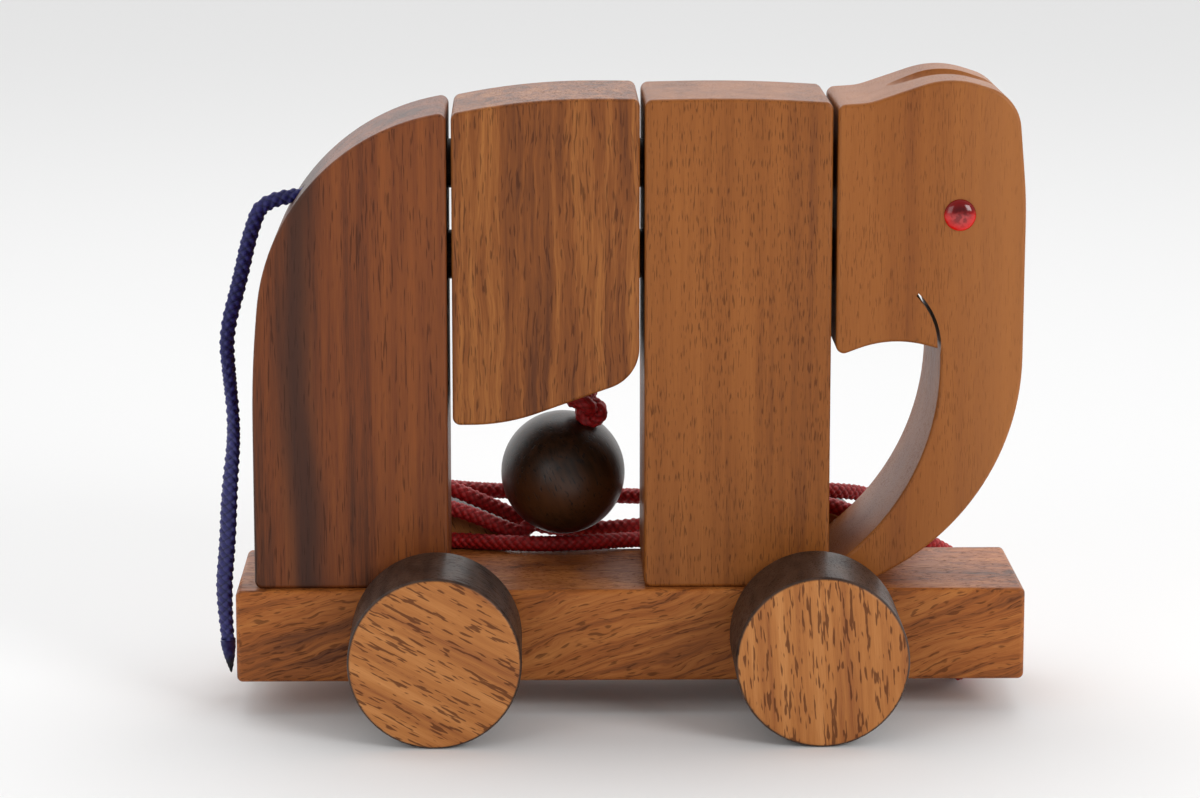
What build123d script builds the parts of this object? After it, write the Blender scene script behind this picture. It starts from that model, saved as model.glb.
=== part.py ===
"""Pull-along toy: four hardwood blocks stand on a wheeled plank as a striding elephant.

Millimetres. +X points towards the head, +Z up. The origin lies on the floor, under the
middle of the plank. Right-hand pieces are on the -Y side.
"""
from build123d import *
import math
import os

os.makedirs("parts", exist_ok=True)

# Plank
base_length = 160.0
base_width = 39.0
base_thickness = 19.0
base_round = 1.2
axle_in_base = 10.4

# Wheels and axles
wheel_diameter = 34.4
wheel_width = 24.75
wheel_gap = 1.75
wheel_round = 1.0
axle_diameter = 8.0
axle_clearance = 0.1
axle_seat = 18.0
rear_axle_from_rump = 36.9
front_axle_from_foreleg = 34.4

# Blocks, from the tail to the head
block_thickness = 34.5
block_gap = 1.0
rump_start = -76.2
rump_length = 39.3
belly_length = 37.6
foreleg_length = 37.5
head_length = 37.8
back_height = 99.7
rump_drop = 2.8
belly_clearance = 33.6
corner_round = 1.6
edge_round = 0.8
back_radius = 44.0
belly_radius = 8.5
chin_height = 47.3
trunk_thickness = 16.8
trunk_foot = 5.4
trunk_inner_foot = 4.4
trunk_outer_radius = 50.0
trunk_inner_radius = 50.0

# Crown, kerf and eyes of the head
crown_rise = 4.3
channel_radius = 6.0
channel_depth = 3.9
kerf_width = 0.7
eye_diameter = 6.4
eye_seat = 2.5
eye_dome = 1.3
eye_from_front = 13.3
eye_drop = 23.6

# Dowels
dowel_diameter = 10.0
dowel_seat = 12.0
dowel_end_space = 0.5
upper_dowel_drop = 15.1
dowel_spacing = 18.7
foot_dowel_diameter = 8.0
foot_dowel_in_base = 9.0
foot_dowel_in_block = 14.0
foot_dowel_inset = 9.5
foot_dowel_spacing = 14.0

# Pull cord, its ball and its knot
cord_diameter = 3.5
cord_anchor_depth = 5.0
cord_anchor_x = 69.0
ball_diameter = 26.0
ball_bore_clearance = 0.1
ball_centre = Vector(-13.4, 17.8, 42.6)
ball_axis = Vector(0.40, -0.20, 0.895).normalized()
knot_diameter = 8.6
knot_height = 6.6
soft_gap = 0.4

# Tail cord
tail_diameter = 4.4
tail_hole_depth = 4.0
tail_drop = 21.6
tail_tip_length = 7.0
tail_tip_radius = 0.4

# Places worked out from the sizes above
axle_z = wheel_diameter / 2
base_bottom = axle_z - axle_in_base
base_top = base_bottom + base_thickness
back_z = base_top + back_height
belly_start = rump_start + rump_length + block_gap
foreleg_start = belly_start + belly_length + block_gap
head_start = foreleg_start + foreleg_length + block_gap
head_front = head_start + head_length
rear_axle_x = rump_start + rear_axle_from_rump
front_axle_x = foreleg_start + front_axle_from_foreleg
upper_dowel_z = back_z - upper_dowel_drop
lower_dowel_z = upper_dowel_z - dowel_spacing
tail_z = back_z - tail_drop
wheel_inner_y = base_width / 2 + wheel_gap
cord_anchor_z = base_bottom + cord_anchor_depth

# The pull cord's route: hand-placed points, (x, y, z), from its anchor to the ball
PULL_ROUTE = [
    (69.0, 0.0, 2.9), (69.4, 6.8, 2.0), (70.6, 15.0, 1.95), (72.4, 24.2, 2.1), (74.0, 33.0, 4.4),
    (74.2, 37.2, 12.2), (71.6, 34.2, 20.0), (66.2, 27.6, 24.2), (60.2, 23.6, 28.2), (54.2, 20.6, 30.8),
    (47.6, 19.35, 33.4), (40.6, 19.25, 35.6), (33.0, 19.3, 36.7), (24.0, 19.6, 36.6), (15.5, 21.9, 36.4),
    (6.0, 26.2, 35.4), (-4.0, 30.2, 34.8), (-14.5, 32.6, 34.9), (-25.0, 29.8, 35.9), (-34.6, 27.0, 37.0),
    (-44.6, 31.6, 37.4), (-54.2, 38.2, 37.2), (-63.8, 40.2, 36.4), (-71.0, 34.6, 35.0), (-71.4, 25.6, 32.8),
    (-64.8, 19.5, 30.4), (-55.0, 19.25, 28.6), (-45.0, 19.3, 27.8), (-36.4, 19.4, 27.6), (-27.2, 16.4, 27.65),
    (-17.6, 15.2, 27.6), (-7.6, 16.4, 27.65), (2.4, 19.5, 27.6), (18.0, 19.35, 27.7), (32.0, 19.2, 27.6), (43.0, 19.3, 27.75), (53.0, 19.5, 27.7),
    (59.2, 23.2, 23.8), (64.2, 29.8, 19.8), (65.4, 38.2, 19.4), (60.8, 43.4, 23.8), (56.6, 41.4, 30.8),
    (51.4, 34.4, 34.2), (45.0, 27.8, 36.2), (37.5, 24.6, 37.1), (29.5, 24.2, 36.0), (22.5, 23.6, 32.6),
    (14.5, 22.6, 31.0), (6.0, 22.4, 30.2), (-2.0, 23.6, 29.2), (-10.5, 25.2, 28.3), (-19.0, 26.0, 29.2),
    (-27.0, 24.9, 33.2), (-35.0, 22.9, 37.2), (-44.4, 26.6, 40.3), (-53.6, 33.4, 41.6), (-63.0, 37.6, 41.2),
    (-71.0, 33.2, 40.2), (-72.0, 24.4, 38.8), (-65.4, 19.35, 37.5), (-56.0, 19.3, 36.9), (-46.4, 19.2, 36.4),
    (-38.0, 19.25, 34.9), (-31.4, 19.2, 32.7), (-25.6, 19.7, 29.8)]

# The tail's route, from the rump's hole to its sealed end
TAIL_ROUTE = [
    (-74.2, 0.0, tail_z), (-77.3, 0.3, 95.8), (-79.4, 0.5, 86.5), (-82.5, 0.2, 75.4), (-81.9, -0.3, 67.0),
    (-80.9, -0.5, 55.5), (-82.3, 0.1, 42.6), (-82.9, 0.4, 31.0), (-84.0, 0.2, 20.5), (-83.1, 0.0, 11.0)]


def side_slab(corners, thickness):
    """Extrude a closed side outline about Y=0 and ease both faces' edges.

    Each corner is (x, z, radius): the outline turns there on a tangent arc.
    """
    points = [(x, z) for x, z, radius in corners]
    radii = [radius for x, z, radius in corners]
    face = make_face(FilletPolyline(*points, radius=radii, close=True))
    solid = extrude(Plane.XZ * face, thickness / 2, both=True)
    return fillet(solid.faces().filter_by(Axis.Y).edges(), edge_round)


def rod(start, end, diameter):
    """A round bar from one point to another."""
    run = Vector(*end) - Vector(*start)
    placed = Plane(origin=start, z_dir=run)
    return placed * Cylinder(diameter / 2, run.length, align=(Align.CENTER, Align.CENTER, Align.MIN))


def corner_radii(points):
    """Each corner's arc: as large as its two runs allow."""
    radii = []
    for before, corner, after in zip(points, points[1:], points[2:]):
        first = Vector(*corner) - Vector(*before)
        second = Vector(*after) - Vector(*corner)
        turn = math.radians(first.get_angle(second))
        radii.append(0.45 * min(first.length, second.length) / math.tan(turn / 2))
    return radii


def tube(name, points, diameter):
    """A cord's plain tube: straight runs joined by tangent arcs."""
    radii = corner_radii(points)
    path = FilletPolyline(*points, radius=radii)
    section = Plane(origin=path @ 0, z_dir=path % 0) * Circle(diameter / 2)
    solid = sweep(section, path=path)
    ideal = math.pi * diameter ** 2 / 4 * path.length
    print(name, "length", round(path.length, 1), "volume ratio", round(solid.volume / ideal, 4))
    print("  radii", [round(r, 1) for r in radii])
    return solid


def dowel_holes(x_face, side):
    """Both body-dowel holes in one vertical face; side is +1 where the wood lies towards +X."""
    holes = []
    for z in (upper_dowel_z, lower_dowel_z):
        end = x_face + side * (dowel_seat + dowel_end_space)
        holes.append(rod((x_face, 0, z), (end, 0, z), dowel_diameter))
    return holes


def foot_dowel_places(block_start):
    """The two places along X where a standing block is dowelled to the plank."""
    first = block_start + foot_dowel_inset
    return [first, first + foot_dowel_spacing]


def foot_holes(block_start):
    top = base_top + foot_dowel_in_block + dowel_end_space
    return [rod((x, 0, base_top), (x, 0, top), foot_dowel_diameter) for x in foot_dowel_places(block_start)]


def base_plank():
    plank = Pos(0, 0, base_bottom + base_thickness / 2) * Box(base_length, base_width, base_thickness)
    plank = fillet(plank.edges(), base_round)
    bore = axle_diameter + 2 * axle_clearance
    for x in (rear_axle_x, front_axle_x):
        plank -= rod((x, -base_width, axle_z), (x, base_width, axle_z), bore)
    for start in (rump_start, foreleg_start):
        for x in foot_dowel_places(start):
            bottom = base_top - foot_dowel_in_base - dowel_end_space
            plank -= rod((x, 0, bottom), (x, 0, base_top), foot_dowel_diameter)
    plank -= rod((cord_anchor_x, 0, base_bottom), (cord_anchor_x, 0, cord_anchor_z), cord_diameter)
    return plank


def rump_block():
    left = rump_start
    right = rump_start + rump_length
    top = back_z - rump_drop
    block = side_slab([
        (right, base_top, corner_round), (left, base_top, corner_round), (left, top - 52.8, 220),
        (left + 4.1, top - 6.3, back_radius), (right, top, corner_round)], block_thickness)
    for hole in dowel_holes(right, -1) + foot_holes(rump_start):
        block -= hole
    return block - rod((tail_hole_end_x(), 0, tail_z), (left, 0, tail_z), tail_diameter)


def tail_hole_end_x():
    """The bottom of the tail's blind hole, measured along X from the rounded back."""
    return rump_start + 7.9 + tail_hole_depth


def belly_block():
    left = belly_start
    right = belly_start + belly_length
    bottom = base_top + belly_clearance
    top = back_z
    block = side_slab([
        (left, bottom, corner_round), (left, top - 3.1, corner_round), (left + 15.7, top, 135),
        (right, top - 0.2, corner_round), (right, bottom + 9.6, belly_radius),
        (left + 10.6, bottom, 40)], block_thickness)
    for hole in dowel_holes(left, 1) + dowel_holes(right, -1):
        block -= hole
    return block


def foreleg_block():
    left = foreleg_start
    right = foreleg_start + foreleg_length
    top = back_z
    block = side_slab([
        (right, base_top, corner_round), (left, base_top, corner_round), (left, top - 0.4, corner_round),
        (left + 20, top, 300), (right, top - 1.0, corner_round)], block_thickness)
    for hole in dowel_holes(left, 1) + dowel_holes(right, -1) + foot_holes(foreleg_start):
        block -= hole
    return block


def head_corners():
    """Neck, crown, brow, trunk and jaw, read round from under the chin."""
    left = head_start
    front = head_front
    top = back_z
    inner = front - trunk_thickness
    return [
        (left, base_top + chin_height, corner_round), (left, top - 1.5, corner_round),
        (left + 6.3, top - 1.1, 12), (left + 22.3, top + crown_rise, 18), (front - 1.8, top, 9),
        (front, top - 20.5, 100), (front - 0.3, base_top + 17.8, trunk_outer_radius),
        (left + trunk_foot, base_top, 0), (left, base_top, 0), (left, base_top + trunk_inner_foot, 0),
        (inner, base_top + 21.2, trunk_inner_radius), (inner, base_top + 48.8, 0),
        (left + 11.3, base_top + 51.5, 22)]


def head_block():
    block = side_slab(head_corners(), block_thickness)
    for hole in dowel_holes(head_start, 1):
        block -= hole
    crown = back_z + crown_rise
    channel_z = crown - channel_depth + channel_radius
    block -= rod((head_start, 0, channel_z), (head_front + 5, 0, channel_z), 2 * channel_radius)
    for side in (-1, 1):
        block -= eye_stem(side)
    return block - kerf()


def kerf():
    """The saw cut that runs up from the top of the trunk's gap and parts it from the jaw."""
    inner = head_front - trunk_thickness
    low = (inner - 0.4, base_top + chin_height)
    middle = (inner - 1.2, base_top + 54.6)
    high = (inner - 4.8, base_top + 60.0)
    slot = trace(ThreePointArc(low, middle, high), kerf_width)
    return extrude(Plane.XZ * slot, block_thickness, both=True)


def eye_place(side):
    return (head_front - eye_from_front, side * block_thickness / 2, back_z - eye_drop)


def eye_stem(side):
    """The round stem of an eye, from the bottom of its seat out to the wood's face."""
    x, y, z = eye_place(side)
    return rod((x, y - side * eye_seat, z), (x, y, z), eye_diameter)


def eye(side):
    """A stem with a shallow dome that stands proud of the wood."""
    radius = eye_diameter / 2
    ball_radius = (radius ** 2 + eye_dome ** 2) / (2 * eye_dome)
    blank = Cylinder(radius, eye_seat + eye_dome, align=(Align.CENTER, Align.CENTER, Align.MIN))
    cap = Pos(0, 0, eye_dome - ball_radius) * Sphere(ball_radius)
    lens = (Pos(0, 0, -eye_seat) * blank) & cap
    return Plane(origin=eye_place(side), z_dir=(0, side, 0)) * lens


def wheel(axle_x, side):
    inner = side * wheel_inner_y
    outer = side * (wheel_inner_y + wheel_width)
    disc = rod((axle_x, inner, axle_z), (axle_x, outer, axle_z), wheel_diameter)
    disc = fillet(disc.edges().filter_by(GeomType.CIRCLE), wheel_round)
    return disc - rod((axle_x, inner, axle_z), (axle_x, inner + side * axle_seat, axle_z), axle_diameter)


def axle(axle_x):
    reach = wheel_inner_y + axle_seat
    return rod((axle_x, -reach, axle_z), (axle_x, reach, axle_z), axle_diameter)


def body_dowel(joint_x, z):
    """A dowel that crosses the gap to the right of joint_x."""
    return rod((joint_x - dowel_seat, 0, z), (joint_x + block_gap + dowel_seat, 0, z), dowel_diameter)


def foot_dowel(x):
    bottom = base_top - foot_dowel_in_base
    return rod((x, 0, bottom), (x, 0, base_top + foot_dowel_in_block), foot_dowel_diameter)


def pull_ball():
    ball = Pos(ball_centre) * Sphere(ball_diameter / 2)
    reach = ball_axis * ball_diameter
    return ball - rod(ball_centre - reach, ball_centre + reach, cord_diameter + 2 * ball_bore_clearance)


def pull_route():
    """The whole cord: out of the plank, past the wheels and back, and up through the ball's bore."""
    anchor = (cord_anchor_x, 0.0, cord_anchor_z)
    below = ball_centre - ball_axis * (ball_diameter / 2 + 3.2)
    top = ball_centre + ball_axis * (ball_diameter / 2 + soft_gap)
    return [anchor] + PULL_ROUTE + [tuple(below), tuple(top)]


def ball_knot():
    """A stopper knot's outer shape: a rounded lump that sits on the ball's upper pole."""
    plane = Plane(origin=ball_centre + ball_axis * (ball_diameter / 2 + soft_gap), z_dir=ball_axis)
    half = knot_diameter / 2
    profile = make_face(FilletPolyline(
        (0, 0), (half * 0.8, 0), (half, knot_height * 0.45), (half * 0.8, knot_height), (0, knot_height),
        radius=[0, 1.0, 2.5, 2.0, 0], close=True))
    return plane * revolve(Plane.XZ * profile, Axis.Z)


def tail_route():
    start = (tail_hole_end_x(), 0.0, tail_z)
    return [start] + TAIL_ROUTE


def tail_tip():
    """The sealed point at the end of the tail."""
    end = Vector(*TAIL_ROUTE[-1])
    run = end - Vector(*TAIL_ROUTE[-2])
    cone = Cone(tail_diameter / 2, tail_tip_radius, tail_tip_length, align=(Align.CENTER, Align.CENTER, Align.MIN))
    return Plane(origin=end, z_dir=run) * cone


pieces = {
    "base_plank": base_plank(),
    "rump_block": rump_block(),
    "belly_block": belly_block(),
    "foreleg_block": foreleg_block(),
    "head_block": head_block(),
    "pull_ball": pull_ball(),
    "ball_knot": ball_knot(),
    "pull_cord": tube("pull_cord", pull_route(), cord_diameter),
    "tail_cord": tube("tail_cord", tail_route(), tail_diameter),
    "tail_tip": tail_tip(),
}
for side_name, side in (("right", -1), ("left", 1)):
    pieces["eye_" + side_name] = eye(side)
    pieces["rear_" + side_name + "_wheel"] = wheel(rear_axle_x, side)
    pieces["front_" + side_name + "_wheel"] = wheel(front_axle_x, side)
pieces["rear_axle"] = axle(rear_axle_x)
pieces["front_axle"] = axle(front_axle_x)
joints = {
    "rump_belly": rump_start + rump_length,
    "belly_foreleg": belly_start + belly_length,
    "foreleg_head": foreleg_start + foreleg_length,
}
for joint_name, joint_x in joints.items():
    pieces[joint_name + "_upper_dowel"] = body_dowel(joint_x, upper_dowel_z)
    pieces[joint_name + "_lower_dowel"] = body_dowel(joint_x, lower_dowel_z)
for block_name, block_start in (("rump", rump_start), ("foreleg", foreleg_start)):
    rear_x, front_x = foot_dowel_places(block_start)
    pieces[block_name + "_rear_foot_dowel"] = foot_dowel(rear_x)
    pieces[block_name + "_front_foot_dowel"] = foot_dowel(front_x)

for name, solid in pieces.items():
    export_step(solid, "parts/" + name + ".step")
print(len(pieces), "pieces")
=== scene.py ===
# %% [markdown]
# # A pull-along toy: a sawn-block elephant on wheels
# Four hardwood blocks stand on a wheeled plank. The blocks, plank, wheels, axles and dowels come from
# the design model as they are: flat sawn faces with eased edges need no more shape than that, so they
# only get their wood. The two braided cords, the knot, the tail's sealed tip, the ball and the eyes are
# modelled here, because a plain tube or ball can't show a braid, a lip or a bead.

# %% Load the design and note its size
import bpy
import math
from mathutils import Matrix, Vector


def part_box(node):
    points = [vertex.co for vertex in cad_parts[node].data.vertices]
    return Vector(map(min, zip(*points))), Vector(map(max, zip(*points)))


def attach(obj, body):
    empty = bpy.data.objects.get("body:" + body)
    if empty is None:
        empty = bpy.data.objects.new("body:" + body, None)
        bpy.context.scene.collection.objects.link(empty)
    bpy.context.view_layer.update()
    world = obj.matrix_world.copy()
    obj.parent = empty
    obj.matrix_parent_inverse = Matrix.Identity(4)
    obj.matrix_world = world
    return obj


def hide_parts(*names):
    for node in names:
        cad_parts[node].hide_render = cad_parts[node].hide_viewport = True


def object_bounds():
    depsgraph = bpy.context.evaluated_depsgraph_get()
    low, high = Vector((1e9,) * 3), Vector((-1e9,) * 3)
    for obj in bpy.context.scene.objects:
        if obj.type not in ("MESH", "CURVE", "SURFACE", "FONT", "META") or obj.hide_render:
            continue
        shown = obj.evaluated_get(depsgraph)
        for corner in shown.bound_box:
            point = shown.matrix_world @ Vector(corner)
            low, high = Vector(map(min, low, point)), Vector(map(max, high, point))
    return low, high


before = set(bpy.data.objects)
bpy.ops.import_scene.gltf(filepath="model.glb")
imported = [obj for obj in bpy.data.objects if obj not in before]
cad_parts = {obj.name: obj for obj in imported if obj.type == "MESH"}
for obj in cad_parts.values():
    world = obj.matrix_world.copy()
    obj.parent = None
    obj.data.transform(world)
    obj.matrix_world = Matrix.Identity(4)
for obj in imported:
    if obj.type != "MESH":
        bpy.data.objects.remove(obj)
cad_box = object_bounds()
MM = 0.001
low, high = Vector(cad_box[0]), Vector(cad_box[1])
print("toy size in mm:", [round(side / MM, 1) for side in high - low])

# %% [markdown]
# ## Camera
# The toy is seen almost square to its side, from a little above and a little to the tail's side of its middle.
# A short lens close by would also fill the view, but it would show much more of the blocks' tops and of
# the gaps between them. A long lens from further off keeps the sides nearly parallel. The colours are
# shown with the plain Standard transform, which puts no film curve between the paint and the picture.

# %% Camera
LENS = 121.5
CAMERA_PLACE = Vector((-21.0, -817.5, 216.0)) * MM
CAMERA_PITCH = math.radians(10.70)
CAMERA_YAW = math.radians(1.056)

camera_data = bpy.data.cameras.new("camera")
camera_data.lens = LENS
camera_data.sensor_width = 36.0
camera_data.clip_start = 0.05
camera = bpy.data.objects.new("camera", camera_data)
camera.location = CAMERA_PLACE
camera.rotation_euler = (math.pi / 2 - CAMERA_PITCH, 0.0, -CAMERA_YAW)
bpy.context.scene.collection.objects.link(camera)
bpy.context.scene.camera = camera
bpy.context.scene.view_settings.view_transform = "Standard"
print("camera", LENS, "mm lens, pitched", round(math.degrees(CAMERA_PITCH), 2), "degrees down")

# %% [markdown]
# ## One small language for shaders
# A node tree could be wired by hand, one link at a time, but what it works out is a sum, and a sum is
# easier to read. `Value` wraps a socket and turns + - * / into Math nodes. `Paint` is one material, and
# its `node` method makes any other node from its type, its settings and its inputs.

# %% Value and Paint
class Value:
    """A shader socket that does arithmetic."""

    def __init__(self, paint, socket):
        self.paint = paint
        self.socket = socket

    def maths(self, operation, *others):
        return self.paint.node("ShaderNodeMath", {"operation": operation}, [self, *others])

    def flipped(self, operation, other):
        return self.paint.node("ShaderNodeMath", {"operation": operation}, [other, self])

    def __add__(self, other):
        return self.maths("ADD", other)

    def __sub__(self, other):
        return self.maths("SUBTRACT", other)

    def __mul__(self, other):
        return self.maths("MULTIPLY", other)

    def __truediv__(self, other):
        return self.maths("DIVIDE", other)

    def __rsub__(self, other):
        return self.flipped("SUBTRACT", other)

    __radd__ = __add__
    __rmul__ = __mul__

    def clamped(self, low_end, high_end):
        """0 below low_end, 1 above high_end, smooth between."""
        settings = {"interpolation_type": "SMOOTHSTEP"}
        return self.paint.node("ShaderNodeMapRange", settings, {"Value": self, 1: low_end, 2: high_end})


class Paint:
    """A material and its Principled shader."""

    def __init__(self, name, **fixed):
        self.material = bpy.data.materials.new(name)
        self.material.use_nodes = True
        self.tree = self.material.node_tree
        self.shader = self.tree.nodes["Principled BSDF"]
        for socket_name, value in fixed.items():
            self.shader.inputs[socket_name.replace("_", " ")].default_value = value

    def node(self, kind, settings, inputs, output=0):
        made = self.tree.nodes.new(kind)
        for key, value in settings.items():
            if key == "stops":
                self.set_stops(made.color_ramp, value)
            else:
                setattr(made, key, value)
        pairs = inputs.items() if isinstance(inputs, dict) else enumerate(inputs)
        for key, value in pairs:
            if isinstance(value, Value):
                self.tree.links.new(value.socket, made.inputs[key])
            else:
                made.inputs[key].default_value = value
        return Value(self, made.outputs[output])

    def set_stops(self, ramp, stops):
        while len(ramp.elements) < len(stops):
            ramp.elements.new(0.5)
        for element, (place, colour) in zip(ramp.elements, stops):
            element.position = place
            element.color = (*colour, 1.0)

    def feed(self, socket_name, value):
        self.tree.links.new(value.socket, self.shader.inputs[socket_name])

    def place(self):
        """Object coordinates in millimetres."""
        metres = self.node("ShaderNodeTexCoord", {}, {}, "Object")
        return self.scaled(metres, (1000, 1000, 1000))

    def scaled(self, vector, factors):
        return self.node("ShaderNodeVectorMath", {"operation": "MULTIPLY"}, [vector, factors])

    def turned(self, vector, degrees, centre=(0, 0, 0)):
        """The vector about centre, turned so that a direction of the wood comes to lie along Z."""
        moved = self.node("ShaderNodeVectorMath", {"operation": "SUBTRACT"}, [vector, centre])
        angles = [math.radians(angle) for angle in degrees]
        return self.node("ShaderNodeMapping", {}, {"Vector": moved, "Rotation": angles})

    def noise(self, vector, factors, detail=2.0, roughness=0.5):
        stretched = self.scaled(vector, factors)
        inputs = {"Vector": stretched, "Scale": 1.0, "Detail": detail, "Roughness": roughness}
        return self.node("ShaderNodeTexNoise", {}, inputs)

    def mix(self, share, first, second):
        return self.node("ShaderNodeMix", {"data_type": "RGBA"}, {0: share, 6: first, 7: second}, 2)

    def part(self, vector, axis):
        """One number of a vector; axis is 0, 1 or 2."""
        return self.node("ShaderNodeSeparateXYZ", {}, [vector], axis)

    def distance(self, vector, point):
        return self.node("ShaderNodeVectorMath", {"operation": "DISTANCE"}, [vector, point], 1)

    def ramp(self, value, stops):
        return self.node("ShaderNodeValToRGB", {"stops": stops}, {0: value})

    def bump(self, height, distance, strength=1.0):
        inputs = {"Height": height, "Distance": distance, "Strength": strength}
        self.feed("Normal", self.node("ShaderNodeBump", {}, inputs))


# %% [markdown]
# ## Floor
# A plain pale sheet lies under the toy. One large plane is enough, because the camera looks down on it
# everywhere in the view.

# %% Floor
FLOOR_REACH = 6.0
FLOOR_GREY = (0.86, 0.86, 0.86, 1)
bpy.ops.object.select_all(action="DESELECT")
bpy.ops.mesh.primitive_plane_add(size=2 * FLOOR_REACH, location=(0, 0, 0))
floor = bpy.context.active_object
floor.name = "floor"
floor.data.materials.append(Paint("pale_floor", Base_Color=FLOOR_GREY, Roughness=0.9).material)
print("floor", 2 * FLOOR_REACH, "m across")

# %% [markdown]
# ## Light
# An even white room would lay a grey veil over the oiled wood, because every face would mirror it. Here
# the room is bright behind the toy, which gives the tops and edges their pale sheen, and dim in front,
# which keeps the sides' colour deep. Three large soft lamps then light the sides without hard shadows.

# %% World: bright behind the toy, dim in front of it
FRONT_GLOW = 0.26
BACK_GLOW = 1.5
FRONT_END = -0.5
BACK_END = 0.6
world = bpy.data.worlds.new("studio")
bpy.context.scene.world = world
world.use_nodes = True
room = world.node_tree
facing = room.nodes.new("ShaderNodeTexCoord")
depth = room.nodes.new("ShaderNodeSeparateXYZ")
brightness = room.nodes.new("ShaderNodeMapRange")
brightness.interpolation_type = "SMOOTHSTEP"
for socket, value in enumerate((FRONT_END, BACK_END, FRONT_GLOW, BACK_GLOW), start=1):
    brightness.inputs[socket].default_value = value
room.links.new(facing.outputs["Generated"], depth.inputs[0])
room.links.new(depth.outputs["Y"], brightness.inputs[0])
room.links.new(brightness.outputs[0], room.nodes["Background"].inputs["Strength"])
room.nodes["Background"].inputs["Color"].default_value = (1.0, 1.0, 1.0, 1)
print("room glow from", FRONT_GLOW, "in front to", BACK_GLOW, "behind")


# %% Soft lamps
def soft_lamp(name, place, aim, size, power):
    """A square area lamp that faces its aim."""
    data = bpy.data.lights.new(name, "AREA")
    data.shape = "SQUARE"
    data.size = size
    data.energy = power
    lamp = bpy.data.objects.new(name, data)
    lamp.location = place
    lamp.rotation_euler = (Vector(aim) - Vector(place)).to_track_quat("-Z", "Y").to_euler()
    bpy.context.scene.collection.objects.link(lamp)
    print(name, "lamp", power, "W")


toy_middle = (0, 0, 0.06)
soft_lamp("key", (0.70, -0.75, 0.50), toy_middle, 0.45, 5.0)
soft_lamp("fill", (-0.60, -0.75, 0.40), toy_middle, 0.6, 2.2)
soft_lamp("top", (0.0, 0.45, 0.9), toy_middle, 0.7, 1.5)

# %% [markdown]
# ## The cords' lines
# A cord is a fixed length of something soft, so its line comes first and its thickness after. It could be
# simulated, but a cord that loops round wheels and legs is easier to lay out as listed points: each point
# pulls on one smooth NURBS spline. The pull cord leaves a hole under the plank, comes up round the far edge
# just ahead of the wheel, runs to and fro along the far side of the legs and ends in its ball. The tail simply
# hangs from the rump.

# %% Routes, point by point, in metres
PULL_ANCHOR = (0.0690, 0.0000, 0.0118)
PULL_ROUTE = [
    (0.0690, 0.0000, 0.0029), (0.0694, 0.0068, 0.0020), (0.0706, 0.0150, 0.00195),
    (0.0724, 0.0242, 0.0021), (0.0740, 0.0330, 0.0044), (0.0742, 0.0372, 0.0122),
    (0.0716, 0.0342, 0.0200), (0.0662, 0.0276, 0.0242), (0.0602, 0.0236, 0.0282),
    (0.0542, 0.0206, 0.0308), (0.0476, 0.01935, 0.0334), (0.0406, 0.01925, 0.0356),
    (0.0330, 0.0193, 0.0367), (0.0240, 0.0196, 0.0366), (0.0155, 0.0219, 0.0364),
    (0.0060, 0.0262, 0.0354), (-0.0040, 0.0302, 0.0348), (-0.0145, 0.0326, 0.0349),
    (-0.0250, 0.0298, 0.0359), (-0.0346, 0.0270, 0.0370), (-0.0446, 0.0316, 0.0374),
    (-0.0542, 0.0382, 0.0372), (-0.0638, 0.0402, 0.0364), (-0.0710, 0.0346, 0.0350),
    (-0.0714, 0.0256, 0.0328), (-0.0648, 0.0195, 0.0304), (-0.0550, 0.01925, 0.0286),
    (-0.0450, 0.0193, 0.0278), (-0.0364, 0.0194, 0.0276), (-0.0272, 0.0164, 0.02765),
    (-0.0176, 0.0152, 0.0276), (-0.0076, 0.0164, 0.02765), (0.0024, 0.0195, 0.0276),
    (0.0180, 0.01935, 0.0277), (0.0320, 0.0192, 0.0276), (0.0430, 0.0193, 0.02775),
    (0.0530, 0.0195, 0.0277), (0.0592, 0.0232, 0.0238), (0.0642, 0.0298, 0.0198),
    (0.0654, 0.0382, 0.0194), (0.0608, 0.0434, 0.0238), (0.0566, 0.0414, 0.0308),
    (0.0514, 0.0344, 0.0342), (0.0450, 0.0278, 0.0362), (0.0375, 0.0246, 0.0371),
    (0.0295, 0.0242, 0.0360), (0.0225, 0.0236, 0.0326), (0.0145, 0.0226, 0.0310),
    (0.0060, 0.0224, 0.0302), (-0.0020, 0.0236, 0.0292), (-0.0105, 0.0252, 0.0283),
    (-0.0190, 0.0260, 0.0292), (-0.0270, 0.0249, 0.0332), (-0.0350, 0.0229, 0.0372),
    (-0.0444, 0.0266, 0.0403), (-0.0536, 0.0334, 0.0416), (-0.0630, 0.0376, 0.0412),
    (-0.0710, 0.0332, 0.0402), (-0.0720, 0.0244, 0.0388), (-0.0654, 0.01935, 0.0375),
    (-0.0560, 0.0193, 0.0369), (-0.0464, 0.0192, 0.0364), (-0.0380, 0.01925, 0.0349),
    (-0.0314, 0.0192, 0.0327), (-0.0256, 0.0197, 0.0298)]
TAIL_ROUTE = [
    (-0.0643, 0.0000, 0.1039), (-0.0742, 0.0000, 0.1039), (-0.0773, 0.0003, 0.0958),
    (-0.0794, 0.0005, 0.0865), (-0.0825, 0.0002, 0.0754), (-0.0819, -0.0003, 0.0670),
    (-0.0809, -0.0005, 0.0555), (-0.0823, 0.0001, 0.0426), (-0.0829, 0.0004, 0.0310),
    (-0.0840, 0.0002, 0.0205), (-0.0831, 0.0000, 0.0110)]

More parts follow.
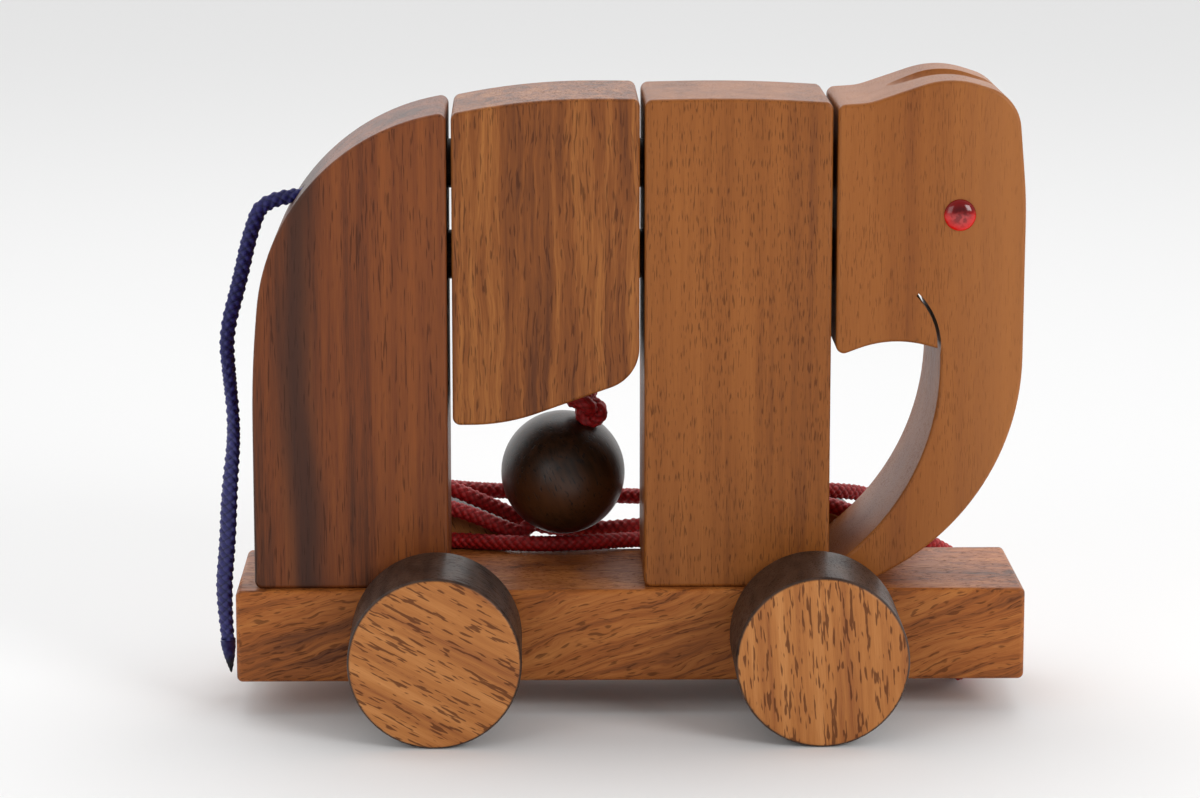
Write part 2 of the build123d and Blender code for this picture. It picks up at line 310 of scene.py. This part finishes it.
# %% Where the ball sits on the cord
BORE_APPROACH = 3.2 * MM
KNOT_GAP = 0.4 * MM
BALL_RADIUS = 13.0 * MM
BALL_CENTRE = Vector((-0.0134, 0.0178, 0.0426))
BALL_AXIS = Vector((0.40, -0.20, 0.895)).normalized()
below_ball = BALL_CENTRE - BALL_AXIS * (BALL_RADIUS + BORE_APPROACH)
above_ball = BALL_CENTRE + BALL_AXIS * (BALL_RADIUS + KNOT_GAP)
pull_points = [Vector(PULL_ANCHOR)] + [Vector(p) for p in PULL_ROUTE] + [below_ball, above_ball]
tail_points = [Vector(p) for p in TAIL_ROUTE]
print(len(pull_points), "points pull on the pull cord,", len(tail_points), "on the tail")


# %% A smooth line through space, read back as close points
def smooth_line(points, steps_per_point):
    """Points along one NURBS spline of order 3 that these points pull on."""
    curve = bpy.data.curves.new("line", "CURVE")
    curve.dimensions = "3D"
    spline = curve.splines.new("NURBS")
    spline.points.add(len(points) - 1)
    for control, point in zip(spline.points, points):
        control.co = (*point, 1.0)
    spline.order_u = 3
    spline.use_endpoint_u = True
    spline.resolution_u = steps_per_point
    holder = bpy.data.objects.new("line", curve)
    line = bpy.data.meshes.new_from_object(holder)
    found = [v.co.copy() for v in line.vertices]
    bpy.data.meshes.remove(line)
    bpy.data.objects.remove(holder)
    bpy.data.curves.remove(curve)
    return found


def line_length(points):
    return sum((b - a).length for a, b in zip(points, points[1:]))


def evenly(points, spacing):
    """The same line with its points a steady distance apart."""
    total = line_length(points)
    count = max(2, round(total / spacing))
    step = total / count
    spaced = [points[0].copy()]
    walked, wanted = 0.0, step
    for a, b in zip(points, points[1:]):
        piece = (b - a).length
        while piece > 0 and walked + piece >= wanted and len(spaced) < count:
            spaced.append(a.lerp(b, (wanted - walked) / piece))
            wanted += step
        walked += piece
    spaced.append(points[-1].copy())
    return spaced


RING_STEP = 0.32 * MM
pull_line = evenly(smooth_line(pull_points, 12), RING_STEP)
tail_line = evenly(smooth_line(tail_points, 24), RING_STEP)
for line_name, line in (("pull cord", pull_line), ("tail", tail_line)):
    print(line_name, round(line_length(line) / MM, 1), "mm long")

# %% [markdown]
# ## Braiding
# A braided cord is a hollow net of yarns that climb round it both ways and pass over and under. Every
# yarn could be its own helix, but each would have to dodge all the others along the whole cord, and a
# bump texture would leave the outline smooth. The middle way is one fine tube whose points are lifted by
# the height of whichever yarn lies on top there, which gives true scallops on the outline.


# %% Frames that travel along a line
def travelling_frames(line):
    """Each point's direction, and a side vector carried along without twisting."""
    tangents = []
    for index in range(len(line)):
        ahead = line[min(index + 1, len(line) - 1)]
        behind = line[max(index - 1, 0)]
        tangents.append((ahead - behind).normalized())
    side = tangents[0].orthogonal().normalized()
    sides = []
    for tangent in tangents:
        side = (side - tangent * side.dot(tangent)).normalized()
        sides.append(side)
    return tangents, sides


# %% The net's height at a place
CROWN_ROUNDNESS = 0.7
FLANK = 0.55


def crown(phase):
    """A yarn's rounded section, 1 in its middle and 0 at its edges."""
    return math.sin(math.pi * (phase % 1.0)) ** CROWN_ROUNDNESS


def braid_height(around, along, yarns):
    """Height of the net at a place: whichever yarn lies on top there."""
    climbing = yarns * around + along
    falling = yarns * around - along
    if (math.floor(climbing) + math.floor(falling)) % 2:
        return crown(climbing) * (FLANK + (1 - FLANK) * crown(falling))
    return crown(falling) * (FLANK + (1 - FLANK) * crown(climbing))


# %% Faces of a tube: its rings joined, and its ends closed with fans
def tube_faces(ring_count, rings):
    faces = []
    for index in range(ring_count - 1):
        near = index * rings
        far = near + rings
        for ring in range(rings):
            following = (ring + 1) % rings
            faces.append((near + ring, near + following, far + following, far + ring))
    for end, first in enumerate((0, (ring_count - 1) * rings)):
        hub = ring_count * rings + end
        for ring in range(rings):
            pair = (first + ring, first + (ring + 1) % rings)
            faces.append((hub, *pair) if end else (hub, *reversed(pair)))
    return faces


# %% Braided tube
def braided_tube(name, line, shape, yarns, pitch, relief, rings=30):
    """A tube round the line. shape(t) gives (half width, half thickness, turn) at a share t of it."""
    tangents, sides = travelling_frames(line)
    vertices, uvs = [], []
    total = line_length(line)
    travelled = 0.0
    for index, (point, tangent, side) in enumerate(zip(line, tangents, sides)):
        if index:
            travelled += (point - line[index - 1]).length
        half_width, half_thick, turn = shape(travelled / total)
        up = tangent.cross(side)
        wide = side * math.cos(turn) + up * math.sin(turn)
        thick = up * math.cos(turn) - side * math.sin(turn)
        for ring in range(rings):
            around = ring / rings
            angle = 2 * math.pi * around
            lift = relief * (braid_height(around, travelled / pitch, yarns) - 1.0)
            across = wide * math.cos(angle) * (half_width + lift)
            vertices.append(point + across + thick * math.sin(angle) * (half_thick + lift))
            uvs.append((around, travelled / MM))
    vertices += [line[0], line[-1]]
    uvs += [(0.5, 0), (0.5, len(line) - 1)]
    return tube_object(name, vertices, tube_faces(len(line), rings), uvs)


def tube_object(name, vertices, faces, uvs):
    """The mesh as an object, smooth, with its braid map and its faces pointing outwards."""
    mesh = bpy.data.meshes.new(name)
    mesh.from_pydata(vertices, [], faces)
    mesh.polygons.foreach_set("use_smooth", [True] * len(faces))
    layer = mesh.uv_layers.new(name="braid")
    for loop in mesh.loops:
        layer.data[loop.index].uv = uvs[loop.vertex_index]
    piece = bpy.data.objects.new(name, mesh)
    bpy.context.scene.collection.objects.link(piece)
    bpy.ops.object.select_all(action="DESELECT")
    piece.select_set(True)
    bpy.context.view_layer.objects.active = piece
    bpy.ops.object.mode_set(mode="EDIT")
    bpy.ops.mesh.select_all(action="SELECT")
    bpy.ops.mesh.normals_make_consistent(inside=False)
    bpy.ops.object.mode_set(mode="OBJECT")
    print(name, len(faces), "faces")
    return piece


# %% [markdown]
# ## Cord yarn
# The yarns are bright synthetic fibre. Their colour carries painted light and painted shade: lighter on their
# crowns and darker where they dive under their neighbours. Object coordinates would let a pattern slide off a
# cord that bends, so the colour follows the braid's own UV map, which counts once round and in millimetres
# along.


# %% Yarn material
def yarn_paint(name, shade_colour, lit_colour, yarns, pitch_mm):
    """The first colour is the painted shade between the yarns, the second the painted light on their crowns.
    """
    paint = Paint(name, Sheen_Weight=0.04, Sheen_Roughness=0.4)
    uv = paint.node("ShaderNodeTexCoord", {}, {}, "UV")
    around = paint.part(uv, 0)
    along = paint.part(uv, 1)
    climbing = around * yarns + along / pitch_mm
    falling = around * yarns - along / pitch_mm
    net = 1.0
    for phase in (climbing, falling):
        share = phase.maths("FRACT")
        net = share * (1.0 - share) * 4.0 * net
    fibre = paint.noise(uv, (60.0, 5.0, 1.0), detail=1.0)
    patch = paint.noise(paint.place(), (0.25, 0.25, 0.25), detail=1.0)
    # tone is high on the yarns' crowns and low where they dive: painted light and painted shade, with fibre
    # and patch noise as the yarn's own variation.
    tone = (net.maths("POWER", 0.35) * 0.55 + fibre * 0.40 + patch * 0.3 - 0.15).clamped(0.0, 1.0)
    paint.feed("Base Color", paint.ramp(tone, [(0.0, shade_colour), (1.0, lit_colour)]))
    paint.feed("Roughness", 0.72 - tone * 0.25)
    paint.bump(fibre, 0.06 * MM)
    print(name, "has", len(paint.tree.nodes), "nodes")
    return paint.material


# %% [markdown]
# ## Pull cord
# A firm round braid of 3.5 mm. Its knot and ball are pieces of their own, so that the ball can turn.

# %% Pull cord
CORD_RADIUS = 1.75 * MM
PULL_YARNS = 5
PULL_PITCH = 1.7 * MM
PULL_RELIEF = 0.50 * MM
PULL_RINGS = 40


def round_section(t):
    return CORD_RADIUS, CORD_RADIUS, 0.0


pull_cord = braided_tube("braided_pull_cord", pull_line, round_section, PULL_YARNS, PULL_PITCH,
                         PULL_RELIEF, PULL_RINGS)
red_yarn = yarn_paint("red_yarn", (0.11, 0.0010, 0.0012), (0.50, 0.004, 0.006), PULL_YARNS, PULL_PITCH / MM)
pull_cord.data.materials.append(red_yarn)
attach(pull_cord, "root")
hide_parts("pull_cord")

# %% [markdown]
# ## Stopper knot
# The cord's end is tied in a tight overhand knot that keeps the ball from sliding off. A lumpy ball
# would pass at a distance, but a knot shows its crossings. Closed on itself, an overhand knot is a
# trefoil, which has a short formula, so the same braid is run along that and pulled close.

# %% Knot
KNOT_SCALE = 1.12 * MM
KNOT_HEIGHT = 1.15
KNOT_STEPS = 260
KNOT_RING_STEP = 0.3 * MM
KNOT_LIFT = 2.9 * MM
KNOT_SIT = Vector((-1.5, 0.4, 0.2)) * MM
KNOT_ROLL = 0.5


def trefoil(t):
    """A point of the knot, t being the angle round it."""
    across = math.sin(t) + 2 * math.sin(2 * t)
    along = math.cos(t) - 2 * math.cos(2 * t)
    rise = -math.sin(3 * t)
    return Vector((across, along, rise * KNOT_HEIGHT)) * KNOT_SCALE


knot_seat = above_ball + BALL_AXIS * KNOT_LIFT + KNOT_SIT
knot_turn = BALL_AXIS.to_track_quat("Z", "Y").to_matrix().to_4x4()
knot_place = Matrix.Translation(knot_seat) @ knot_turn @ Matrix.Rotation(KNOT_ROLL, 4, "X")
knot_line = [knot_place @ trefoil(2 * math.pi * step / KNOT_STEPS) for step in range(KNOT_STEPS + 1)]
knot = braided_tube("stopper_knot", evenly(knot_line, KNOT_RING_STEP), round_section, PULL_YARNS,
                    PULL_PITCH, PULL_RELIEF, PULL_RINGS)
knot.data.materials.append(red_yarn)
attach(knot, "root")
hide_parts("ball_knot")

# %% [markdown]
# ## Tail
# The tail is a softer, flatter braid. It leaves its hole edge-on and shows its flat face lower down, so
# the same braided tube is given an oval section that turns a quarter on the way. Its end was sealed with
# heat: the braid narrows to a hard dark point, which is a piece of its own with its own finish.


# %% Tail
def smooth_share(value, start, end):
    """0 before start, 1 after end, smooth between."""
    share = min(1.0, max(0.0, (value - start) / (end - start)))
    return share * share * (3 - 2 * share)


TAIL_YARNS = 4
TAIL_PITCH = 1.9 * MM
TAIL_RELIEF = 0.60 * MM


def tail_shape(t):
    """Half width, half thickness and turn from the hole (t=0) to the tip's root (t=1)."""
    open_up = smooth_share(t, 0.25, 0.75)
    narrow = 1.0 - 0.16 * smooth_share(t, 0.88, 1.0)
    half_width = (1.85 + 0.45 * open_up) * MM * narrow
    half_thick = (1.5 - 0.1 * open_up) * MM * narrow
    return half_width, half_thick, math.radians(90) * (1 - open_up)


tail = braided_tube("braided_tail", tail_line, tail_shape, TAIL_YARNS, TAIL_PITCH, TAIL_RELIEF)
blue_yarn = yarn_paint("blue_yarn", (0.002, 0.002, 0.018), (0.016, 0.015, 0.17), TAIL_YARNS, TAIL_PITCH / MM)
tail.data.materials.append(blue_yarn)

# %% Sealed tip
TIP_LENGTH = 7.0 * MM
TIP_STEPS = 24
TIP_RELIEF = 0.3 * MM
TIP_MELTED = (0.004, 0.005, 0.012, 1)
TIP_YARN = (0.014, 0.018, 0.12, 1)
tip_way = (tail_line[-1] - tail_line[-8]).normalized()
tip_line = [tail_line[-1] + tip_way * TIP_LENGTH * step / TIP_STEPS for step in range(TIP_STEPS + 1)]


def tip_shape(t):
    """The tail's last section, drawn down to a point."""
    narrow = 1.0 - 0.9 * t ** 1.6
    half_width, half_thick, turn = tail_shape(1.0)
    return half_width * narrow, half_thick * narrow, turn


tip = braided_tube("sealed_tail_tip", tip_line, tip_shape, TAIL_YARNS, TAIL_PITCH, TIP_RELIEF)
tip_paint = Paint("sealed_yarn", Roughness=0.4)
unmelted = tip_paint.part(tip_paint.place(), 2).clamped(6.0, 8.5)
tip_paint.feed("Base Color", tip_paint.mix(unmelted, TIP_MELTED, TIP_YARN))
tip.data.materials.append(tip_paint.material)
for piece, node, slot in ((tail, "tail_cord", "blue_cord"), (tip, "tail_tip", "sealed_tip")):
    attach(piece, "root")
    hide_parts(node)

# %% [markdown]
# ## The ball
# A bead like this is turned on a lathe and drilled. A Boolean cut would leave ragged faces round the
# hole, so the sphere is made with its poles on the bore's axis instead. Both poles are cut away, each
# rim is drawn in and rolled over into a small lip, and the two lips are bridged into one bore. The
# finished ball is then tilted and put in its place.


# %% Helpers for shaping in edit mode
def only(piece):
    """Make this the one selected and active object."""
    bpy.ops.object.select_all(action="DESELECT")
    piece.select_set(True)
    bpy.context.view_layer.objects.active = piece


def choose(piece, wanted):
    """In edit mode, select the vertices for which wanted(place) is true."""
    bpy.ops.mesh.select_mode(type="VERT")
    bpy.ops.mesh.select_all(action="DESELECT")
    bpy.ops.object.mode_set(mode="OBJECT")
    for vertex in piece.data.vertices:
        vertex.select = wanted(vertex.co)
    bpy.ops.object.mode_set(mode="EDIT")


def sphere_blank(name, radius, segments, ring_count):
    """A sphere at the origin with its poles on Z, in edit mode."""
    bpy.ops.object.select_all(action="DESELECT")
    bpy.ops.mesh.primitive_uv_sphere_add(
        segments=segments, ring_count=ring_count, radius=radius, location=(0, 0, 0))
    blank = bpy.context.active_object
    blank.name = name
    bpy.ops.object.mode_set(mode="EDIT")
    return blank


def close_shell():
    """Point all faces outwards and leave edit mode."""
    bpy.ops.mesh.select_all(action="SELECT")
    bpy.ops.mesh.normals_make_consistent(inside=False)
    bpy.ops.object.mode_set(mode="OBJECT")


def settle(piece, centre, axis):
    """Stand the piece's Z on the axis at its centre, and keep that place in the mesh."""
    turn = Vector(axis).to_track_quat("Z", "Y").to_matrix().to_4x4()
    piece.data.transform(Matrix.Translation(centre) @ turn)
    only(piece)
    bpy.ops.object.shade_smooth_by_angle(angle=math.radians(35))
    print(piece.name, len(piece.data.polygons), "faces")


# %% Ball, with its bore
BORE_RADIUS = 1.85 * MM
LIP = 0.7 * MM
LIP_STEP_DOWN = 0.08 * MM
TOUCH = 2e-6


def from_axis(place):
    return math.hypot(place.x, place.y)


ball = sphere_blank("turned_ball", BALL_RADIUS, 96, 64)
choose(ball, lambda place: from_axis(place) < BORE_RADIUS + LIP * 0.9)
bpy.ops.mesh.delete(type="VERT")
bpy.ops.object.mode_set(mode="OBJECT")
rim_radius = min(from_axis(vertex.co) for vertex in ball.data.vertices)
bpy.ops.object.mode_set(mode="EDIT")
for end in (1, -1):
    reach, drop = rim_radius, 0.0
    for share in (0.4, 0.75, 1.0):
        radius = rim_radius + (BORE_RADIUS - rim_radius) * share
        fall = LIP * (1 - math.sqrt(1 - share * share)) + LIP_STEP_DOWN
        choose(ball, lambda place: abs(from_axis(place) - reach) < TOUCH and place.z * end > 0)
        bpy.ops.mesh.extrude_edges_move()
        bpy.ops.transform.resize(value=(radius / reach, radius / reach, 1), center_override=(0, 0, 0))
        bpy.ops.transform.translate(value=(0, 0, -end * (fall - drop)))
        reach, drop = radius, fall
choose(ball, lambda place: abs(from_axis(place) - BORE_RADIUS) < TOUCH)
bpy.ops.mesh.bridge_edge_loops()
close_shell()
settle(ball, BALL_CENTRE, BALL_AXIS)
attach(ball, "ball")
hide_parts("pull_ball")

# %% [markdown]
# ## Dark stain
# The ball is turned wood under a nearly black stain. Round its lower middle a soft band of warmer, lighter
# brown is mixed in by height: a painted glow of reflected light. It lies over streaks and flecks that lie
# along the grain.

# %% Ball material
STAIN_DEEP = (0.012, 0.006, 0.002)
STAIN_THIN = (0.050, 0.019, 0.006)
REFLECTED_GLOW_BROWN = (0.105, 0.036, 0.011, 1)
FLECK = (0.003, 0.002, 0.002, 1)
REFLECTED_GLOW_HEIGHT = 39.5
ball_paint = Paint("stained_ball", Coat_Weight=0.25, Coat_Roughness=0.35, Specular_IOR_Level=0.35)
grain_place = ball_paint.turned(ball_paint.place(), (0, 25, 0))
streak = ball_paint.noise(grain_place, (0.9, 0.9, 0.08), detail=3.0)
fleck = ball_paint.noise(grain_place, (2.4, 2.4, 0.35), detail=1.0).clamped(0.60, 0.72)
stain = ball_paint.ramp(streak, [(0.3, STAIN_DEEP), (0.7, STAIN_THIN)])
# Painted reflected glow: a band of warm brown round the ball's lower middle, set by height.
from_band = (ball_paint.part(ball_paint.place(), 2) - REFLECTED_GLOW_HEIGHT).maths("ABSOLUTE")
painted_glow_share = 1.0 - from_band.clamped(1.0, 7.5)
stain = ball_paint.mix(painted_glow_share * 0.55, stain, REFLECTED_GLOW_BROWN)
ball_paint.feed("Base Color", ball_paint.mix(fleck, stain, FLECK))
ball_paint.feed("Roughness", 0.38 + streak * 0.12)
ball_paint.bump(streak * 0.5 - fleck, 0.04 * MM)
ball.data.materials.append(ball_paint.material)
print("stained_ball has", len(ball_paint.tree.nodes), "nodes")

# %% [markdown]
# ## Eyes
# Each eye is a clear red bead pressed into a shallow seat. Real glass would need a good deal of light
# behind it to glow, and here the wood is behind it. So the bead is solid, and its colour says what the
# light does: it comes in from above and gathers below, which leaves the upper half dark and lights the
# lower half and the rim. The dome is half a sphere, flattened, with its rim drawn down into a stem.


# %% Bead
def bead_blank(name, radius, dome, stem):
    """Half a flattened sphere, with its open rim drawn down into a stem and closed."""
    bead = sphere_blank(name, radius, 64, 32)
    choose(bead, lambda place: place.z < -radius * 0.01)
    bpy.ops.mesh.delete(type="VERT")
    bpy.ops.mesh.select_all(action="SELECT")
    bpy.ops.transform.resize(value=(1, 1, dome / radius), center_override=(0, 0, 0))
    choose(bead, lambda place: abs(place.z) < radius * 0.002)
    bpy.ops.mesh.extrude_edges_move()
    bpy.ops.transform.translate(value=(0, 0, -stem))
    bpy.ops.transform.resize(value=(0.96, 0.96, 1), center_override=(0, 0, 0))
    bpy.ops.mesh.edge_face_add()
    close_shell()
    return bead


# %% Both eyes
EYE_DOME = 1.3 * MM
EYE_STEM = 2.4 * MM
eye_paint = Paint("red_bead", Roughness=0.12)
for side, node in ((-1, "eye_right"), (1, "eye_left")):
    box_low, box_high = [Vector(corner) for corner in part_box(node)]
    radius = (box_high.x - box_low.x) / 2
    face_y = box_high.y - EYE_DOME if side > 0 else box_low.y + EYE_DOME
    centre = Vector(((box_low.x + box_high.x) / 2, face_y, (box_low.z + box_high.z) / 2))
    bead = bead_blank(node + "_bead", radius, EYE_DOME, EYE_STEM)
    settle(bead, centre, (0, side, 0))
    bead.data.materials.append(eye_paint.material)
    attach(bead, "root")
    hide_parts(node)

# %% Red of the beads, all painted light: dark above, glowing below, with painted glints
DARK_RED = (0.070, 0.003, 0.004, 1)
GLOW_RED = (0.20, 0.004, 0.004, 1)
GLINT_RED = (0.42, 0.030, 0.028, 1)
RIM_RED = (0.62, 0.003, 0.002, 1)
eye_spot = eye_paint.place()
eye_centre = (centre.x / MM, 0.0, centre.z / MM)
flat = eye_paint.scaled(eye_spot, (1, 0, 1))
rim = (eye_paint.distance(flat, eye_centre) / (radius / MM)).clamped(0.35, 0.95)
# Brighter patches in the lit half: painted glints of light inside the bead.
painted_glints = eye_paint.noise(eye_spot, (1.1, 0.4, 1.1), detail=1.0).clamped(0.4, 0.6)
upper = (eye_paint.part(eye_spot, 2) - eye_centre[2]).clamped(-0.6, 1.4)
heart = eye_paint.mix(upper, eye_paint.mix(painted_glints, GLOW_RED, GLINT_RED), DARK_RED)
edge = eye_paint.mix(upper, RIM_RED, GLOW_RED)
eye_paint.feed("Base Color", eye_paint.mix(rim, heart, edge))
print("red_bead has", len(eye_paint.tree.nodes), "nodes")

# %% [markdown]
# ## Wood
# All the wood is one open-pored hardwood, sawn from different boards. A wave texture would give rings
# that are far too regular, so three stretched noises are added up instead: slow colour bands, narrower
# stripes and fine fibre, all long in the direction of the grain. A fourth noise, cut off high, leaves
# only its peaks, and those are the short dark pores. The pattern lies in space and not on one face, so
# it runs round each block's edges as sawn wood does. Each piece says which way its grain runs, how dark
# its board is and how large its pores are. The finish is a thin coat with little shine.


# %% Wood, from slow bands to single pores
def wood_paint(name, shades, grain=(0, 0, 0), centre=(0, 0, 0), bands=0.16, wave=0.0, streaks=0.5,
               pores=(4.2, 0.42), pore_cut=(0.60, 0.68), pore_depth=0.55, gloss=0.10):
    """The wood's material, its colour before any mark of its own, and its turned coordinates.

    shades are (dark, middle, light); grain turns the wood's long direction to Z.
    """
    paint = Paint(name, Coat_Weight=gloss, Coat_Roughness=0.25, Specular_IOR_Level=0.22)
    spot = paint.turned(paint.place(), grain, centre)
    if wave:
        sway = paint.noise(spot, (0.16, 0.16, 0.05), detail=3.0)
        push = paint.node("ShaderNodeCombineXYZ", {}, [(sway - 0.5) * wave, 0.0, 0.0])
        spot = paint.node("ShaderNodeVectorMath", {"operation": "ADD"}, [spot, push])
    band = paint.noise(spot, (bands, bands * 0.5, bands * 0.05), detail=3.0, roughness=0.6)
    stripe = paint.noise(spot, (bands * 5, bands * 2.5, bands * 0.14), detail=4.0, roughness=0.65)
    fibre = paint.noise(spot, (7.0, 7.0, 0.22), detail=2.0)
    tone = band * 0.9 + stripe * streaks + fibre * 0.30 - (0.35 + streaks / 2)
    dark, mid, light = shades
    colour = paint.ramp(tone + 0.25, [(0.25, dark), (0.5, mid), (0.78, light)])
    across, length = pores
    dots = paint.noise(spot, (across, across, length), detail=1.0, roughness=0.4)
    crowd = paint.noise(spot, (0.20, 0.20, 0.05), detail=2.0)
    pore = (dots + (crowd - 0.5) * 0.22).clamped(*pore_cut)
    colour = paint.mix(pore * pore_depth, colour, (dark[0] * 0.30, dark[1] * 0.22, dark[2] * 0.22, 1))
    paint.feed("Roughness", 0.42 + fibre * 0.16 + pore * 0.25)
    paint.bump(fibre * 0.25 + stripe * 0.2 - pore, 0.08 * MM, 0.5)
    return paint, colour, spot


# %% Put a wood on a design piece
def wear(node, paint):
    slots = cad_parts[node].material_slots
    if not slots:
        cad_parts[node].data.materials.append(paint.material)
    for slot in slots:
        slot.material = paint.material
    print(node, "wears", paint.material.name)


# %% [markdown]
# ## Rump
# The rump is the darkest and reddest board, with one deep streak down its rear half. The streak is a
# soft band about a line that wanders with its own slow noise, so that it isn't ruled straight.

# %% Rump
STREAK = (0.036, 0.0125, 0.0072, 1)
STREAK_X = -66.5
STREAK_WANDER = 9.0
RUMP = ((0.046, 0.0135, 0.0050), (0.150, 0.0370, 0.0080), (0.235, 0.064, 0.0120))
rump_paint, rump_colour, rump_spot = wood_paint(
    "rump_wood", RUMP, bands=0.10, streaks=0.8, pores=(3.4, 0.20), pore_cut=(0.61, 0.72), pore_depth=0.5)
rump_x = rump_paint.part(rump_paint.place(), 0)
sway = rump_paint.noise(rump_spot, (0.06, 0.06, 0.02), detail=2.0)
streak_middle = STREAK_X + (sway - 0.5) * STREAK_WANDER
off_streak = (rump_x - streak_middle).maths("ABSOLUTE")
streak_share = (1.0 - off_streak.clamped(0.5, 6.5)) * 0.84
rump_paint.feed("Base Color", rump_paint.mix(streak_share, rump_colour, STREAK))
wear("rump_block", rump_paint)

# %% [markdown]
# ## Belly, foreleg and head
# These three boards are golden brown. The belly has the strongest figure, so its stripes are deeper and sway a
# little. The foreleg is plainer. The head is the smoothest, and has painted light towards the brow and trunk,
# where the stronger light from the right falls.

# %% Belly
BELLY = ((0.105, 0.0280, 0.0055), (0.215, 0.0620, 0.0105), (0.37, 0.132, 0.028))
belly_paint, belly_colour, _ = wood_paint(
    "belly_wood", BELLY, bands=0.14, wave=3.0, streaks=1.0, pores=(3.0, 0.26), pore_cut=(0.59, 0.68))
belly_paint.feed("Base Color", belly_colour)
wear("belly_block", belly_paint)

# %% Foreleg
FORELEG = ((0.140, 0.0380, 0.0070), (0.255, 0.0780, 0.0125), (0.330, 0.108, 0.0200))
foreleg_paint, foreleg_colour, _ = wood_paint(
    "foreleg_wood", FORELEG, bands=0.11, streaks=0.6, pores=(4.0, 0.36), pore_cut=(0.585, 0.67))
foreleg_paint.feed("Base Color", foreleg_colour)
wear("foreleg_block", foreleg_paint)

# %% Head
LIT_BROW_COLOUR = (0.46, 0.175, 0.048, 1)
HEAD = ((0.190, 0.0520, 0.0090), (0.275, 0.0850, 0.0140), (0.340, 0.112, 0.0220))
head_paint, head_colour, _ = wood_paint(
    "head_wood", HEAD, bands=0.07, streaks=0.45, pores=(4.4, 0.36), pore_cut=(0.61, 0.69), pore_depth=0.45)
# Painted light: the head grows paler towards the brow and trunk, as if lit more strongly from the right.
painted_light_share = head_paint.part(head_paint.place(), 0).clamped(56.0, 76.0) * 0.45
head_paint.feed("Base Color", head_paint.mix(painted_light_share, head_colour, LIT_BROW_COLOUR))
wear("head_block", head_paint)

# %% [markdown]
# ## Plank
# The plank's board was sawn a little across its grain, so its stripes and pores slant over its side. The
# same wood is used, with its long direction turned nearly level.

# %% Plank
PLANK = ((0.110, 0.0300, 0.0075), (0.350, 0.1020, 0.0180), (0.52, 0.190, 0.044))
plank_paint, plank_colour, _ = wood_paint(
    "plank_wood", PLANK, grain=(0, -72, 0), centre=(-60, 0, 16), bands=0.16, wave=6.0, streaks=0.9,
    pores=(2.4, 0.34), pore_cut=(0.58, 0.68))
plank_paint.feed("Base Color", plank_colour)
wear("base_plank", plank_paint)

# %% [markdown]
# ## Wheels
# The wheels are cut out of a board, so the pores cross their flat faces in one direction, and each wheel
# lies at its own angle. Their rims look as if the cut grain had drunk up the stain: dark all round, up
# to a crisp line at the face. A texture would have to be lined up with each wheel, but that line is
# simply a distance from the axle, so the rim's colour is mixed in by distance.


# %% Wheel wood
WHEEL = ((0.23, 0.066, 0.0160), (0.42, 0.154, 0.038), (0.58, 0.250, 0.078))
RIM_DARK = (0.022, 0.011, 0.007)
RIM_BROWN = (0.075, 0.040, 0.026)
RIM_INSET = 0.65
RIM_BLUR = 0.40


def wheel_paint(name, grain_degrees, centre, wheel_radius):
    """centre and wheel_radius are in millimetres, and centre lies in the toy's middle plane."""
    paint, colour, _ = wood_paint(name, WHEEL, grain=(0, grain_degrees, 0), centre=centre, bands=0.14,
                                  pores=(2.1, 0.30), pore_cut=(0.575, 0.65), pore_depth=0.75)
    flat_place = paint.scaled(paint.place(), (1, 0, 1))
    inner = wheel_radius - RIM_INSET
    edge = paint.distance(flat_place, centre).clamped(inner, inner + RIM_BLUR)
    smoke = paint.noise(paint.place(), (0.35, 0.12, 0.35), detail=3.0)
    rim_colour = paint.ramp(smoke, [(0.3, RIM_DARK), (0.7, RIM_BROWN)])
    paint.feed("Base Color", paint.mix(edge, colour, rim_colour))
    return paint


# %% Wheels, each with its grain at its own angle
GRAIN_ANGLE = {"rear_right": 62.0, "rear_left": 27.0, "front_right": 4.0, "front_left": -31.0}
for corner, angle in GRAIN_ANGLE.items():
    node = corner + "_wheel"
    box_low, box_high = [Vector(place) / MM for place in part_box(node)]
    hub = ((box_low.x + box_high.x) / 2, 0, (box_low.z + box_high.z) / 2)
    wear(node, wheel_paint(node + "_wood", angle, hub, (box_high.z - box_low.z) / 2))

# %% [markdown]
# ## Axles and dowels
# These are plain round rod with next to no shine. Their colour, much darker than the boards, is painted shade
# for the narrow gaps where most of them show. Little of them shows, but each kind still has its grain along
# its own length, so there are three woods and not one.

# %% Axles across, body dowels along, foot dowels upright
# Dark shades: painted shade for the narrow gaps where the rods show.
SHADE_DARK_ROD = ((0.030, 0.012, 0.007), (0.070, 0.030, 0.016), (0.12, 0.055, 0.028))
ROD_GRAIN = {"axle": (90, 0, 0), "body": (0, 90, 0), "foot": (0, 0, 0)}


def rod_kind(node):
    """axle, foot or body, or None for anything that isn't a rod."""
    if node.endswith("axle"):
        return "axle"
    if node.endswith("foot_dowel"):
        return "foot"
    return "body" if node.endswith("dowel") else None


for kind, turn in ROD_GRAIN.items():
    rod_paint, rod_colour, _ = wood_paint(kind + "_rod_wood", SHADE_DARK_ROD, grain=turn, bands=0.3, gloss=0.05)
    rod_paint.feed("Base Color", rod_colour)
    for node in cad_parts:
        if rod_kind(node) == kind:
            wear(node, rod_paint)
